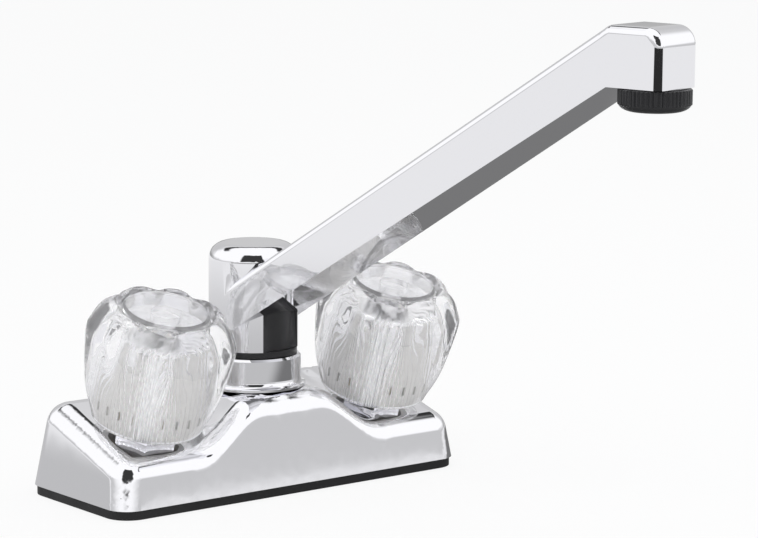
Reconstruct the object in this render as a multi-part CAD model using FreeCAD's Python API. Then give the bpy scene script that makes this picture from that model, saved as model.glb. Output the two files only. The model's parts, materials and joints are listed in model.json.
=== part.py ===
import FreeCAD, Part
import math
import os

from FreeCAD import Placement, Rotation, Vector

# A four inch two-handle kitchen faucet: a chromed base cover on a black gasket,
# a straight rising swivel spout and two clear fluted knobs.
# Millimetres. Z is up and Z = 0 is the sink deck under the gasket.
# The origin is on the spout's swivel axis, X runs from the hot to the cold inlet
# and the front of the faucet, over the bowl, is toward -Y.

# Fits that many pieces share
RUNNING_FIT = 0.08
LOOSE_FIT = 0.3
SEAT_FIT = 0.1
CONTACT_GAP = 0.07

# Base cover and gasket
INLET_SPACING = 101.6
BASE_END_REACH = 25.4
BASE_LENGTH = INLET_SPACING + 2 * BASE_END_REACH
BASE_DEPTH = 61.0
BASE_SETBACK = 3.5
BASE_CORNER = 9.3
WALL_DRAFT = 8.0
COVER_WALL = 2.4
COVER_EDGE_ROLL = 8.4
HUMP_HEIGHT = 36.0
HUMP_HALF_WIDTH = 17.0
RAMP_SLOPE = 37.0
RAMP_EASE = 3.6
RAMP_END = 46.0
COVER_STATIONS = (-1.0, -0.94, -0.86, -0.76, -0.66, -0.56, -0.46, -0.38, -0.3, -0.2, 0.0,
                  0.2, 0.3, 0.38, 0.46, 0.56, 0.66, 0.76, 0.86, 0.94, 1.0)
PLATFORM_HEIGHT = 26.8
PLATFORM_TILT = 17.0
RIB_THICKNESS = 1.8
RIB_INSET = 10.2
RIB_OFFSET = BASE_LENGTH / 2 - RIB_INSET
RIB_DEPTH = 5.0
GASKET_THICKNESS = 3.3
GASKET_INSET = 0.4
GASKET_RIM = 9.0

# Inlets and waterway
SHANK_RADIUS = 10.3
SHANK_BORE = 6.3
SHANK_DROP = 45.0
SHANK_FLANGE_RADIUS = 15.0
SHANK_GROOVE_WIDTH = 1.6
SHANK_GROOVE_DEPTH = 0.7
VALVE_CROSSING_HEIGHT = 11.0
POCKET_RADIUS = 11.5
POCKET_DEPTH = 22.0
VALVE_NECK_RADIUS = 8.5
VALVE_NECK_HEIGHT = 4.0
CARTRIDGE_RADIUS = 6.4
CARTRIDGE_DEPTH = 15.9
SEAT_RADIUS = 4.2
GALLERY_RADIUS = 6.5
GALLERY_BORE = 3.2
GALLERY_HEIGHT = 13.0
PORT_RADIUS = 2.2
PORT_DEPTH = 12.2

# Spout post, where the spout swivels
POST_RADIUS = 14.4
POST_TOP = 43.8
POST_FOOT_RADIUS = 12.0
POST_FOOT_HEIGHT = 4.0
POST_SHOULDER_RADIUS = 15.6
POST_SHOULDER_DROP = 0.6
POST_SHOULDER_THICKNESS = 5.0
SPIGOT_RADIUS = 9.4
SPIGOT_BOTTOM = 20.0
SPIGOT_BORE = 5.0
SUMP_RADIUS = 6.0

# Spout nut, the flared chrome collar
NUT_FOOT_RADIUS = 19.0
NUT_TOP_RADIUS = 17.3
NUT_HEIGHT = 11.6
NUT_FLARE_HEIGHT = 3.4
NUT_LIP = 2.4
THRUST_RING_THICKNESS = 1.0
THRUST_RING_RADIUS = 13.4
ORING_SECTION = 0.95
ORING_UPPER = 38.5
ORING_LOWER = 28.0

# Spout shell
SPOUT_YAW = 10.2
SHELL_WALL = 2.0
HUB_RADIUS = 16.2
HUB_BOTTOM = 50.1
HUB_TOP = 88.2
HUB_TOP_ROUND = 5.8
ARM_ROOT_HALF_WIDTH = 16.2
HEAD_FRONT_HALF_WIDTH = 10.4
ARM_UNDERSIDE_ROOT = 55.6
ARM_TOP_ROOT = 72.9
OUTLET_REACH = 178.0
HEAD_BEHIND_OUTLET = 11.6
HEAD_AHEAD_OF_OUTLET = 9.4
HEAD_REAR = OUTLET_REACH - HEAD_BEHIND_OUTLET
HEAD_FRONT = OUTLET_REACH + HEAD_AHEAD_OF_OUTLET
HEAD_BOTTOM = 157.1
HEAD_DEPTH = 20.0
HEAD_TOP = HEAD_BOTTOM + HEAD_DEPTH
ARM_EDGE_ROUND = 2.7
HEAD_CORNER_ROUND = 2.8
HEAD_NOSE_ROUND = 6.5
INSERT_FLANGE_RADIUS = 15.9
INSERT_BODY_TOP = 78.0
FRONT_WINDOW_HALF_WIDTH = 9.0
FRONT_FACE_REACH = 13.4
FRONT_FACE_LEAN = 5.0

# Spout waterway and aerator
TUBE_RADIUS = 4.2
TUBE_WALL = 1.0
TUBE_START = 7.0
NIPPLE_RADIUS = 6.8
NIPPLE_HEADROOM = 5.1
NIPPLE_TOP = HEAD_TOP - NIPPLE_HEADROOM
NIPPLE_THREAD_RADIUS = 10.3
NIPPLE_THREAD_LENGTH = 4.5
NIPPLE_BOTTOM = HEAD_BOTTOM - NIPPLE_THREAD_LENGTH
AERATOR_RADIUS = 12.1
AERATOR_BAND = 4.3
AERATOR_HEIGHT = 7.8
AERATOR_MOUTH = 7.4
AERATOR_RIBS = 48
AERATOR_RIB_DEPTH = 0.35
SCREEN_THICKNESS = 0.9
SCREEN_HOLE = 0.8
WASHER_THICKNESS = 1.3

# Knobs
KNOB_GAP = 4.4
KNOB_FOOT_RADIUS = 20.0
KNOB_MAX_RADIUS = 26.6
KNOB_MAX_HEIGHT = 34.6
KNOB_SHOULDER_RADIUS = 18.0
KNOB_TOP = 45.4
KNOB_RIM_RISE = 2.6
KNOB_FLUTES = 8
KNOB_FLUTE_RADIUS = 6.6
KNOB_FLUTE_FOOT = 9.0
INSERT_FOOT_RADIUS = 15.3
INSERT_TOP_RADIUS = 13.7
INSERT_TOP = 29.0
INSERT_SKIRT = 16.0
SLOT_HEIGHT = 5.4
SLOT_LENGTH = 3.4
SLOT_WIDTH = 0.8
INSERT_CAVITY_RADIUS = 12.9
INSERT_SLOTS = 20
CRYSTAL_RIBS = 36
CRYSTAL_RIB_DEPTH = 0.8
BUTTON_RADIUS = 15.4
BUTTON_THICKNESS = 2.6
BUTTON_PLUG_RADIUS = 5.4
BUTTON_PLUG_LENGTH = 6.0
SCREW_WELL_RADIUS = 5.6

# Valve trim
BONNET_FLAT_RADIUS = 10.5
BONNET_HEIGHT = 6.0
BONNET_LIP = 1.8
STEM_RADIUS = 3.5
STEM_TOP = 26.0
STEM_DRUM_RADIUS = 4.8
STEM_DRUM_TOP = -4.6
CARTRIDGE_CEILING = -4.2
SPLINE_TEETH = 12
SPLINE_DEPTH = 0.5
SPLINE_START = 10.0
SCREW_RADIUS = 1.9
SCREW_HEAD_RADIUS = 3.6
SCREW_HEAD_HEIGHT = 2.4
SCREW_LENGTH = 14.0
SPRING_WIRE = 0.4
SPRING_TURNS = 3.5

# Mounting nuts under the deck
DECK_THICKNESS = 12.0
MOUNTING_NUT_FLANGE_RADIUS = 19.0
MOUNTING_NUT_FLANGE = 2.5
MOUNTING_NUT_HEIGHT = 12.0
MOUNTING_NUT_BARREL_RADIUS = 13.5
MOUNTING_NUT_WINGS = 4

UP = Vector(0, 0, 1)


def cylinder(radius, low, high, x=0.0, y=0.0):
    """An upright round bar from one height to another."""
    return Part.makeCylinder(radius, high - low, Vector(x, y, low))


def tube(outer, inner, low, high):
    """An upright ring with a plain bore."""
    return cylinder(outer, low, high).cut(cylinder(inner, low - 1, high + 1))


def turned(points):
    """A solid turned about Z from a closed outline of (radius, height) points."""
    corners = [Vector(radius, 0, height) for radius, height in points]
    outline = Part.makePolygon(corners + [corners[0]])
    return Part.Face(outline).revolve(Vector(0, 0, 0), UP, 360)


def turned_profile(edges):
    """A solid turned about Z from edges in the XZ plane that close on the axis."""
    return Part.Face(Part.Wire(edges)).revolve(Vector(0, 0, 0), UP, 360)


def line(start, end):
    """A straight edge in the XZ plane between two (radius, height) points."""
    return Part.LineSegment(Vector(start[0], 0, start[1]), Vector(end[0], 0, end[1])).toShape()


def curve(points):
    """A smooth edge in the XZ plane through (radius, height) points."""
    spline = Part.BSplineCurve()
    spline.interpolate([Vector(radius, 0, height) for radius, height in points])
    return spline.toShape()


def star_wire(outer, inner, teeth, height):
    """A closed star outline with straight flanks, as on a fine knurl."""
    corners = []
    for index in range(2 * teeth):
        radius = outer if index % 2 == 0 else inner
        angle = math.pi * index / teeth
        corners.append(Vector(radius * math.cos(angle), radius * math.sin(angle), height))
    return Part.makePolygon(corners + [corners[0]])


def star_bar(outer, inner, teeth, low, high):
    """An upright bar with the star outline."""
    return Part.Face(star_wire(outer, inner, teeth, low)).extrude(Vector(0, 0, high - low))


def spun(shape, count):
    """Copies of a shape at even steps about Z."""
    copies = []
    for index in range(count):
        copy = shape.copy()
        copy.rotate(Vector(0, 0, 0), UP, 360.0 * index / count)
        copies.append(copy)
    return copies


# Base cover

def platform_height(y, inset):
    """Height of the sloping knob platforms, or of their inner face."""
    tilt = math.radians(PLATFORM_TILT)
    return PLATFORM_HEIGHT + y * math.tan(tilt) - inset / math.cos(tilt)


def eased_max(first, second, ease):
    """The larger of two heights, with a smooth change over where they cross."""
    overlap = max(ease - abs(first - second), 0.0)
    return max(first, second) + overlap * overlap / (4 * ease)


def roof_height(x, y):
    """Height of the cover's top: the hump, its two ramps and the platforms."""
    ramp = HUMP_HEIGHT - (abs(x) - HUMP_HALF_WIDTH) * math.tan(math.radians(RAMP_SLOPE))
    ridge = -eased_max(-HUMP_HEIGHT, -ramp, RAMP_EASE)
    fall = min((HUMP_HEIGHT - ridge) / RAMP_EASE, 1.0)
    return eased_max(ridge, platform_height(y, 0.0), 0.4 + RAMP_EASE * fall)


def wall_y(side, height, inset):
    """How far out the front (-1) or back (1) wall stands at one height."""
    draft = math.radians(WALL_DRAFT)
    return BASE_SETBACK + side * (BASE_DEPTH / 2 - (height - GASKET_THICKNESS) * math.tan(draft)
                                  - inset / math.cos(draft))


def roof_points(x, inset):
    """Points (y, z) over the cover's top at one place along its length."""
    steps = 160
    low = wall_y(-1, HUMP_HEIGHT, 0.0) - 6
    high = wall_y(1, HUMP_HEIGHT, 0.0) + 6
    points = []
    for step in range(steps + 1):
        y = low + (high - low) * step / steps
        rise = (roof_height(x, y + 0.01) - roof_height(x, y - 0.01)) / 0.02
        length = math.hypot(1.0, rise)
        points.append((y + inset * rise / length, roof_height(x, y) - inset / length))
    return points


def nearest_on(points, y, z):
    """Distance and place of the nearest spot on a line through points (y, z)."""
    best = None
    for (y1, z1), (y2, z2) in zip(points, points[1:]):
        along = ((y - y1) * (y2 - y1) + (z - z1) * (z2 - z1)) / ((y2 - y1) ** 2 + (z2 - z1) ** 2)
        along = min(max(along, 0.0), 1.0)
        spot = (y1 + along * (y2 - y1), z1 + along * (z2 - z1))
        gap = math.hypot(spot[0] - y, spot[1] - z)
        if best is None or gap < best[0]:
            best = (gap, spot)
    return best


def roll_centre(side, points, inset):
    """Centre of the rolled edge that touches both a wall and the top."""
    roll = COVER_EDGE_ROLL - inset
    low, high = GASKET_THICKNESS, HUMP_HEIGHT
    for _ in range(40):
        height = 0.5 * (low + high)
        y = wall_y(side, height, inset + roll)
        gap, touch = nearest_on(points, y, height)
        if gap > roll:
            low = height
        else:
            high = height
    return y, height, touch


def cover_section(x, inset, floor):
    """The cover's closed outline across its depth at one place along its length."""
    roll = COVER_EDGE_ROLL - inset
    draft = math.radians(WALL_DRAFT)
    points = roof_points(x, inset)
    arcs = []
    for side in (-1, 1):
        y, z, touch = roll_centre(side, points, inset)
        wall_end = Vector(x, y + side * roll * math.cos(draft), z + roll * math.sin(draft))
        reach = math.hypot(touch[0] - y, touch[1] - z)
        roof_end = Vector(x, y + (touch[0] - y) * roll / reach, z + (touch[1] - z) * roll / reach)
        half = Vector(0, wall_end.y + roof_end.y - 2 * y, wall_end.z + roof_end.z - 2 * z)
        half.normalize()
        arcs.append((Vector(x, wall_y(side, floor, inset), floor), wall_end,
                     Vector(x, y, z) + half * roll, roof_end))
    front, back = arcs
    roof = [front[3]]
    for share in (0.12, 0.26, 0.42, 0.58, 0.74, 0.88):
        y = front[3].y + share * (back[3].y - front[3].y)
        spot = nearest_on(points, y, front[3].z + share * (back[3].z - front[3].z))[1]
        roof.append(Vector(x, spot[0], spot[1]))
    roof.append(back[3])
    spline = Part.BSplineCurve()
    spline.interpolate(roof)
    return Part.Wire([Part.LineSegment(front[0], front[1]).toShape(),
                      Part.Arc(front[1], front[2], front[3]).toShape(), spline.toShape(),
                      Part.Arc(back[3], back[2], back[1]).toShape(),
                      Part.LineSegment(back[1], back[0]).toShape(),
                      Part.LineSegment(back[0], front[0]).toShape()])


def rectangle_wire(half_x, half_y, height):
    """A plain rectangle round the middle of the base."""
    corners = [Vector(-half_x, BASE_SETBACK - half_y, height), Vector(half_x, BASE_SETBACK - half_y, height),
               Vector(half_x, BASE_SETBACK + half_y, height), Vector(-half_x, BASE_SETBACK + half_y, height)]
    return Part.makePolygon(corners + [corners[0]])


def platform_block(inset, floor):
    """The cover's two ends as one low block, rolled along its top and its corners."""
    draft = math.radians(WALL_DRAFT)
    wires = []
    for height in (floor, 2 * HUMP_HEIGHT):
        shrink = (height - GASKET_THICKNESS) * math.tan(draft) + inset / math.cos(draft)
        wires.append(rectangle_wire(BASE_LENGTH / 2 - shrink, BASE_DEPTH / 2 - shrink, height))
    walls = Part.makeLoft(wires, True, True)
    reach = BASE_DEPTH
    corners = [Vector(-BASE_LENGTH, y, z) for y, z in
               ((-reach, platform_height(-reach, inset)), (reach, platform_height(reach, inset)),
                (reach, floor - 1), (-reach, floor - 1))]
    under = Part.Face(Part.makePolygon(corners + [corners[0]])).extrude(Vector(2 * BASE_LENGTH, 0, 0))
    block = walls.common(under)
    edges = [edge for edge in block.Edges if edge.BoundBox.ZMax > floor + 1]
    return block.makeFillet(COVER_EDGE_ROLL - inset, edges)


def cover_block(inset, floor):
    """The cover as a full block, set in from the outside by a wall."""
    ends = platform_block(inset, floor)
    stations = [RAMP_END * share for share in COVER_STATIONS]
    wires = [cover_section(x, inset, floor) for x in stations]
    middle = Part.makeLoft(wires, True, False)
    gap = Part.makeBox(2 * RAMP_END, 4 * BASE_DEPTH, 4 * HUMP_HEIGHT,
                       Vector(-RAMP_END, -2 * BASE_DEPTH, -HUMP_HEIGHT))
    return ends.cut(gap).fuse(middle)


def rounded_plate(half_x, half_y, corner, low, high):
    """A flat plate with round corners, set round the middle of the base."""
    plate = Part.Face(rectangle_wire(half_x, half_y, low)).extrude(Vector(0, 0, high - low))
    uprights = [edge for edge in plate.Edges if edge.BoundBox.ZLength > 0.5 * (high - low)]
    return plate.makeFillet(corner, uprights)


def base_cover():
    """The chromed cover: thin drafted walls, a hump, two platforms and three holes."""
    shell = cover_block(0.0, GASKET_THICKNESS).cut(cover_block(COVER_WALL, GASKET_THICKNESS - 0.5))
    core = cover_block(COVER_WALL * 0.5, GASKET_THICKNESS)
    for side in (-1, 1):
        for end in (-1, 1):
            middle = BASE_SETBACK + end * (BASE_DEPTH / 2 - COVER_WALL - 0.5 * RIB_DEPTH)
            rib = Part.makeBox(RIB_THICKNESS, RIB_DEPTH + 2 * COVER_WALL, HUMP_HEIGHT - GASKET_THICKNESS,
                               Vector(side * RIB_OFFSET - RIB_THICKNESS / 2,
                                      middle - 0.5 * RIB_DEPTH - COVER_WALL, GASKET_THICKNESS))
            shell = shell.fuse(rib.common(core))
    shell = shell.cut(cylinder(POST_RADIUS + LOOSE_FIT, GASKET_THICKNESS, HUMP_HEIGHT + 1))
    for side in (-1, 1):
        hole = cylinder(VALVE_NECK_RADIUS + LOOSE_FIT, -3 * COVER_WALL, 2 * COVER_WALL)
        shell = shell.cut(on_valve(hole, side))
    return shell.removeSplitter()


def base_gasket():
    """The black gasket under the cover, open round the inlets and the middle."""
    plate = rounded_plate(BASE_LENGTH / 2 - GASKET_INSET, BASE_DEPTH / 2 - GASKET_INSET,
                          BASE_CORNER - GASKET_INSET, 0, GASKET_THICKNESS)
    window = rounded_plate(INLET_SPACING / 2 - SHANK_FLANGE_RADIUS - GASKET_RIM, BASE_DEPTH / 2 - GASKET_RIM,
                           BASE_CORNER, -1, GASKET_THICKNESS + 1)
    plate = plate.cut(window)
    for side in (-1, 1):
        plate = plate.cut(cylinder(SHANK_FLANGE_RADIUS + LOOSE_FIT, -1, GASKET_THICKNESS + 1,
                                   side * INLET_SPACING / 2))
    return plate


# Places of the tilted valves and of the swivelling spout

def valve_seat_point(side):
    """Where the valve's axis comes out through the platform."""
    tilt = math.radians(PLATFORM_TILT)
    along = (PLATFORM_HEIGHT - VALVE_CROSSING_HEIGHT) * math.cos(tilt)
    return Vector(side * INLET_SPACING / 2, -along * math.sin(tilt),
                  VALVE_CROSSING_HEIGHT + along * math.cos(tilt))


def on_valve(shape, side):
    """A shape made about Z, with zero at the platform, set on one valve's axis."""
    placed = shape.copy()
    tilted = Placement(valve_seat_point(side), Rotation(Vector(1, 0, 0), PLATFORM_TILT))
    placed.Placement = tilted.multiply(placed.Placement)
    return placed


def on_spout(shape):
    """A shape made with the spout straight ahead, turned to where the spout rests."""
    placed = shape.copy()
    placed.rotate(Vector(0, 0, 0), UP, SPOUT_YAW)
    return placed


# Waterway

def valve_pocket(side):
    """The outside of one valve pocket, its neck and its inlet shank."""
    pocket = cylinder(POCKET_RADIUS, -POCKET_DEPTH, -COVER_WALL - CONTACT_GAP)
    neck = cylinder(VALVE_NECK_RADIUS, -2 * COVER_WALL, VALVE_NECK_HEIGHT)
    x = side * INLET_SPACING / 2
    shank = cylinder(SHANK_RADIUS, -SHANK_DROP, VALVE_CROSSING_HEIGHT - POCKET_DEPTH / 3, x)
    groove_top = -DECK_THICKNESS - MOUNTING_NUT_HEIGHT - SHANK_GROOVE_WIDTH
    groove = tube(SHANK_RADIUS + 1, SHANK_RADIUS - SHANK_GROOVE_DEPTH, groove_top - SHANK_GROOVE_WIDTH, groove_top)
    groove.translate(Vector(x, 0, 0))
    shank = shank.cut(groove)
    flange = cylinder(SHANK_FLANGE_RADIUS, 0, GASKET_THICKNESS, x)
    return [on_valve(pocket.fuse(neck), side), shank, flange]


def valve_bores(side):
    """The stepped bore of one valve pocket and the bore of its shank."""
    x = side * INLET_SPACING / 2
    bore = cylinder(CARTRIDGE_RADIUS + SEAT_FIT, -CARTRIDGE_DEPTH - SEAT_FIT, VALVE_NECK_HEIGHT + 1)
    seat = cylinder(SEAT_RADIUS + SEAT_FIT, -POCKET_DEPTH, -CARTRIDGE_DEPTH)
    feed = cylinder(PORT_RADIUS, -POCKET_DEPTH - 6, -POCKET_DEPTH + 1)
    shank = cylinder(SHANK_BORE, -SHANK_DROP - 1, GASKET_THICKNESS, x)
    return [on_valve(bore, side), on_valve(seat, side), on_valve(feed, side), shank]


def waterway_body():
    """The moulded underbody: two shanks, two tilted pockets, a gallery and the post."""
    half = INLET_SPACING / 2
    gallery = Part.makeCylinder(GALLERY_RADIUS, INLET_SPACING, Vector(-half, 0, GALLERY_HEIGHT), Vector(1, 0, 0))
    foot = cylinder(POST_FOOT_RADIUS, POST_FOOT_HEIGHT, HUMP_HEIGHT - 2 * COVER_WALL)
    shoulder_top = HUMP_HEIGHT - COVER_WALL - POST_SHOULDER_DROP
    shoulder = cylinder(POST_SHOULDER_RADIUS, shoulder_top - POST_SHOULDER_THICKNESS, shoulder_top)
    post = cylinder(POST_RADIUS, shoulder_top, POST_TOP)
    body = gallery.multiFuse([foot, shoulder, post] + valve_pocket(-1) + valve_pocket(1))
    gallery_bore = Part.makeCylinder(GALLERY_BORE, INLET_SPACING - 2 * CARTRIDGE_RADIUS,
                                     Vector(-half + CARTRIDGE_RADIUS, 0, GALLERY_HEIGHT), Vector(1, 0, 0))
    socket = cylinder(SPIGOT_RADIUS + RUNNING_FIT, SPIGOT_BOTTOM - LOOSE_FIT, POST_TOP + 1)
    sump = cylinder(SUMP_RADIUS, POST_FOOT_HEIGHT + COVER_WALL, SPIGOT_BOTTOM)
    cutters = [gallery_bore, socket, sump] + valve_bores(-1) + valve_bores(1)
    for cutter in cutters:
        body = body.cut(cutter)
    return body.removeSplitter()


def mounting_nuts():
    """The two winged nuts that hold the faucet down from under the deck."""
    nuts = []
    top = -DECK_THICKNESS
    bottom = top - MOUNTING_NUT_HEIGHT
    for side in (-1, 1):
        flange = cylinder(MOUNTING_NUT_FLANGE_RADIUS, top - MOUNTING_NUT_FLANGE, top)
        barrel = cylinder(MOUNTING_NUT_BARREL_RADIUS, bottom, top)
        wing = Part.makeBox(MOUNTING_NUT_FLANGE_RADIUS, 2 * MOUNTING_NUT_FLANGE, MOUNTING_NUT_HEIGHT)
        wing.translate(Vector(0, -MOUNTING_NUT_FLANGE, bottom))
        nut = flange.multiFuse([barrel] + spun(wing, MOUNTING_NUT_WINGS))
        nut = nut.common(cylinder(MOUNTING_NUT_FLANGE_RADIUS, bottom, top))
        nut = nut.cut(cylinder(SHANK_RADIUS + SEAT_FIT, bottom - 1, top + 1))
        nut.translate(Vector(side * INLET_SPACING / 2, 0, 0))
        nuts.append(nut)
    return Part.makeCompound(nuts)


# Swivel

def spout_nut():
    """The flared chrome nut that holds the spout down on the post."""
    bottom = HUMP_HEIGHT + CONTACT_GAP
    top = HUMP_HEIGHT + NUT_HEIGHT
    lip_bottom = top - NUT_LIP
    flare_top = bottom + NUT_FLARE_HEIGHT
    bevel = 0.8
    flare = curve([(NUT_FOOT_RADIUS, bottom + bevel), (NUT_TOP_RADIUS + 0.5, bottom + 0.5 * NUT_FLARE_HEIGHT),
                   (NUT_TOP_RADIUS, flare_top)])
    thread = POST_RADIUS + SEAT_FIT
    lip = neck_radius() + LOOSE_FIT
    outline = [line((thread, bottom), (NUT_FOOT_RADIUS, bottom)),
               line((NUT_FOOT_RADIUS, bottom), (NUT_FOOT_RADIUS, bottom + bevel)),
               flare,
               line((NUT_TOP_RADIUS, flare_top), (NUT_TOP_RADIUS, top - bevel)),
               line((NUT_TOP_RADIUS, top - bevel), (NUT_TOP_RADIUS - bevel, top)),
               line((NUT_TOP_RADIUS - bevel, top), (lip, top)),
               line((lip, top), (lip, lip_bottom)),
               line((lip, lip_bottom), (thread, lip_bottom)),
               line((thread, lip_bottom), (thread, bottom))]
    return turned_profile(outline)


def neck_radius():
    """Radius of the insert's neck where it passes the nut's lip."""
    return SPIGOT_RADIUS + 1.2


def thrust_ring():
    """The ring in the spout's groove that the nut's lip holds down."""
    low = POST_TOP + RUNNING_FIT
    return tube(THRUST_RING_RADIUS, SPIGOT_RADIUS - 1.0 + SEAT_FIT, low, low + THRUST_RING_THICKNESS)


def oring(height):
    """One O-ring in its groove on the spigot."""
    return Part.makeTorus(SPIGOT_RADIUS - ORING_SECTION, ORING_SECTION, Vector(0, 0, height))


def hub_insert():
    """The black insert: a spigot, a flange, the plug inside the hub and its flat front."""
    flange_bottom = HUMP_HEIGHT + NUT_HEIGHT + LOOSE_FIT
    ring_low = POST_TOP + RUNNING_FIT
    ring_high = ring_low + THRUST_RING_THICKNESS + SEAT_FIT
    groove = SPIGOT_RADIUS - 1.0
    body_radius = HUB_RADIUS - SHELL_WALL - SEAT_FIT
    outline = [(0, SPIGOT_BOTTOM), (SPIGOT_RADIUS - 0.8, SPIGOT_BOTTOM), (SPIGOT_RADIUS, SPIGOT_BOTTOM + 0.8),
               (SPIGOT_RADIUS, ring_low), (groove, ring_low), (groove, ring_high), (neck_radius(), ring_high),
               (neck_radius(), flange_bottom), (INSERT_FLANGE_RADIUS, flange_bottom),
               (INSERT_FLANGE_RADIUS, HUB_BOTTOM), (body_radius, HUB_BOTTOM), (body_radius, INSERT_BODY_TOP - 2),
               (body_radius - 2, INSERT_BODY_TOP), (0, INSERT_BODY_TOP)]
    insert = turned(outline)
    insert = insert.fuse(front_block(FRONT_WINDOW_HALF_WIDTH - SEAT_FIT, SEAT_FIT))
    for height in (ORING_UPPER, ORING_LOWER):
        insert = insert.cut(tube(SPIGOT_RADIUS + 1, SPIGOT_RADIUS - 2 * ORING_SECTION,
                                 height - 1.1 * ORING_SECTION, height + 1.1 * ORING_SECTION))
    insert = insert.cut(cylinder(SPIGOT_BORE, SPIGOT_BOTTOM - 1, arm_middle(0.0)))
    return insert.cut(arm_bar(TUBE_RADIUS + SEAT_FIT, 0.0, HUB_RADIUS * 2))


def front_block(half_width, gap):
    """The block behind the hub's front window, under the arm."""
    lean = math.tan(math.radians(FRONT_FACE_LEAN))
    top_reach = FRONT_FACE_REACH - lean * (arm_underside(FRONT_FACE_REACH) - HUB_BOTTOM)
    corners = [(0, HUB_BOTTOM), (FRONT_FACE_REACH, HUB_BOTTOM),
               (top_reach, arm_underside(top_reach) - gap), (0, arm_underside(0) - gap)]
    return side_prism(corners, half_width)


# Spout shell. Reach is measured from the swivel axis toward the front.

def arm_slope(low, high):
    """Rise of one of the arm's long edges for each millimetre of reach."""
    return (high - low) / HEAD_REAR


def arm_underside(reach):
    return ARM_UNDERSIDE_ROOT + reach * arm_slope(ARM_UNDERSIDE_ROOT, HEAD_BOTTOM)


def arm_upper(reach):
    return ARM_TOP_ROOT + reach * arm_slope(ARM_TOP_ROOT, HEAD_TOP)


def arm_middle(reach):
    return 0.5 * (arm_underside(reach) + arm_upper(reach))


def side_prism(corners, half_width):
    """A prism across X from an outline of (reach, height) corners."""
    points = [Vector(-half_width, -reach, height) for reach, height in corners]
    face = Part.Face(Part.makePolygon(points + [points[0]]))
    return face.extrude(Vector(2 * half_width, 0, 0))


def arm_bar(radius, start, end):
    """A round bar along the middle of the arm between two reaches."""
    low = Vector(0, -start, arm_middle(start))
    high = Vector(0, -end, arm_middle(end))
    return Part.makeCylinder(radius, low.distanceToPoint(high), low, high - low)


def arm_block(inset):
    """The arm and head as a full block, set in from the outside by a wall."""
    steep = math.atan(arm_slope(ARM_UNDERSIDE_ROOT, HEAD_BOTTOM))
    rise = inset / math.cos(steep)
    knee = inset * math.tan(steep / 2)
    rear = HEAD_REAR + knee
    start = 0.0
    side = [(start, arm_underside(start) + rise), (rear, HEAD_BOTTOM + inset), (HEAD_FRONT - inset, HEAD_BOTTOM + inset),
            (HEAD_FRONT - inset, HEAD_TOP - inset), (HEAD_REAR + knee, HEAD_TOP - inset),
            (start, arm_upper(start) - rise)]
    block = side_prism(side, HUB_RADIUS * 2)
    taper = (ARM_ROOT_HALF_WIDTH - HEAD_FRONT_HALF_WIDTH) / HEAD_FRONT
    root = ARM_ROOT_HALF_WIDTH - inset
    front = ARM_ROOT_HALF_WIDTH - taper * (HEAD_FRONT + HUB_RADIUS) - inset
    corners = [Vector(-root, 0, 0), Vector(root, 0, 0), Vector(front, -HEAD_FRONT - HUB_RADIUS, 0),
               Vector(-front, -HEAD_FRONT - HUB_RADIUS, 0)]
    plan = Part.Face(Part.makePolygon(corners + [corners[0]])).extrude(Vector(0, 0, 2 * HEAD_TOP))
    block = block.common(plan)
    nose = [edge for edge in block.Edges if is_nose_edge(edge, inset)]
    block = block.makeFillet(HEAD_NOSE_ROUND - inset, nose)
    if inset == 0.0:
        uprights = [edge for edge in block.Edges if is_upright_nose_edge(edge)]
        block = block.makeFillet(HEAD_CORNER_ROUND, uprights)
        upper = [edge for edge in block.Edges if is_upper_edge(edge)]
        block = block.makeFillet(ARM_EDGE_ROUND, upper)
    return block


def is_nose_edge(edge, inset):
    """The straight edge between the head's top and its front."""
    centre = edge.CenterOfMass
    return abs(centre.y + HEAD_FRONT - inset) < 0.01 and abs(centre.z - HEAD_TOP + inset) < 0.01


def is_upright_nose_edge(edge):
    """The two upright edges at the head's front."""
    box = edge.BoundBox
    return abs(box.YMin + HEAD_FRONT) < 0.01 and box.XLength < 0.5 and abs(box.ZMin - HEAD_BOTTOM) < 0.01


def is_upper_edge(edge):
    """The long edges between the sides and the top of the arm and head."""
    centre = edge.CenterOfMass
    if abs(centre.x) < HEAD_FRONT_HALF_WIDTH * 0.8:
        return False
    reach = -centre.y
    if centre.z < arm_middle(min(reach, HEAD_REAR)) + 0.25 * (HEAD_TOP - HEAD_BOTTOM):
        return False
    return edge.BoundBox.YLength > 1.0 and edge.BoundBox.XLength < edge.BoundBox.YLength


def hub_block(inset):
    """The hub as a full round block with a rolled top edge."""
    radius = HUB_RADIUS - inset
    top = HUB_TOP - inset
    roll = HUB_TOP_ROUND - inset
    bar = cylinder(radius, HUB_BOTTOM - (1 if inset else 0), top)
    rim = [edge for edge in bar.Edges if abs(edge.CenterOfMass.z - top) < 0.01 and edge.Closed]
    return bar.makeFillet(roll, rim)


def spout_shell():
    """The chromed spout: hub, arm and head in one hollow moulding."""
    near = HUB_RADIUS / 3
    window = side_prism([(near, HUB_BOTTOM - 1), (2 * HUB_RADIUS, HUB_BOTTOM - 1),
                         (2 * HUB_RADIUS, arm_middle(near)), (near, arm_middle(near))],
                        FRONT_WINDOW_HALF_WIDTH)
    outside = hub_block(0.0).cut(window).fuse(arm_block(0.0))
    shell = outside.cut(hub_block(SHELL_WALL).fuse(arm_block(SHELL_WALL)))
    outlet = cylinder(NIPPLE_RADIUS + SEAT_FIT, HEAD_BOTTOM - 1, HEAD_BOTTOM + 2 * SHELL_WALL, 0, -OUTLET_REACH)
    return shell.cut(outlet)


# Spout waterway and aerator

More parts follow.
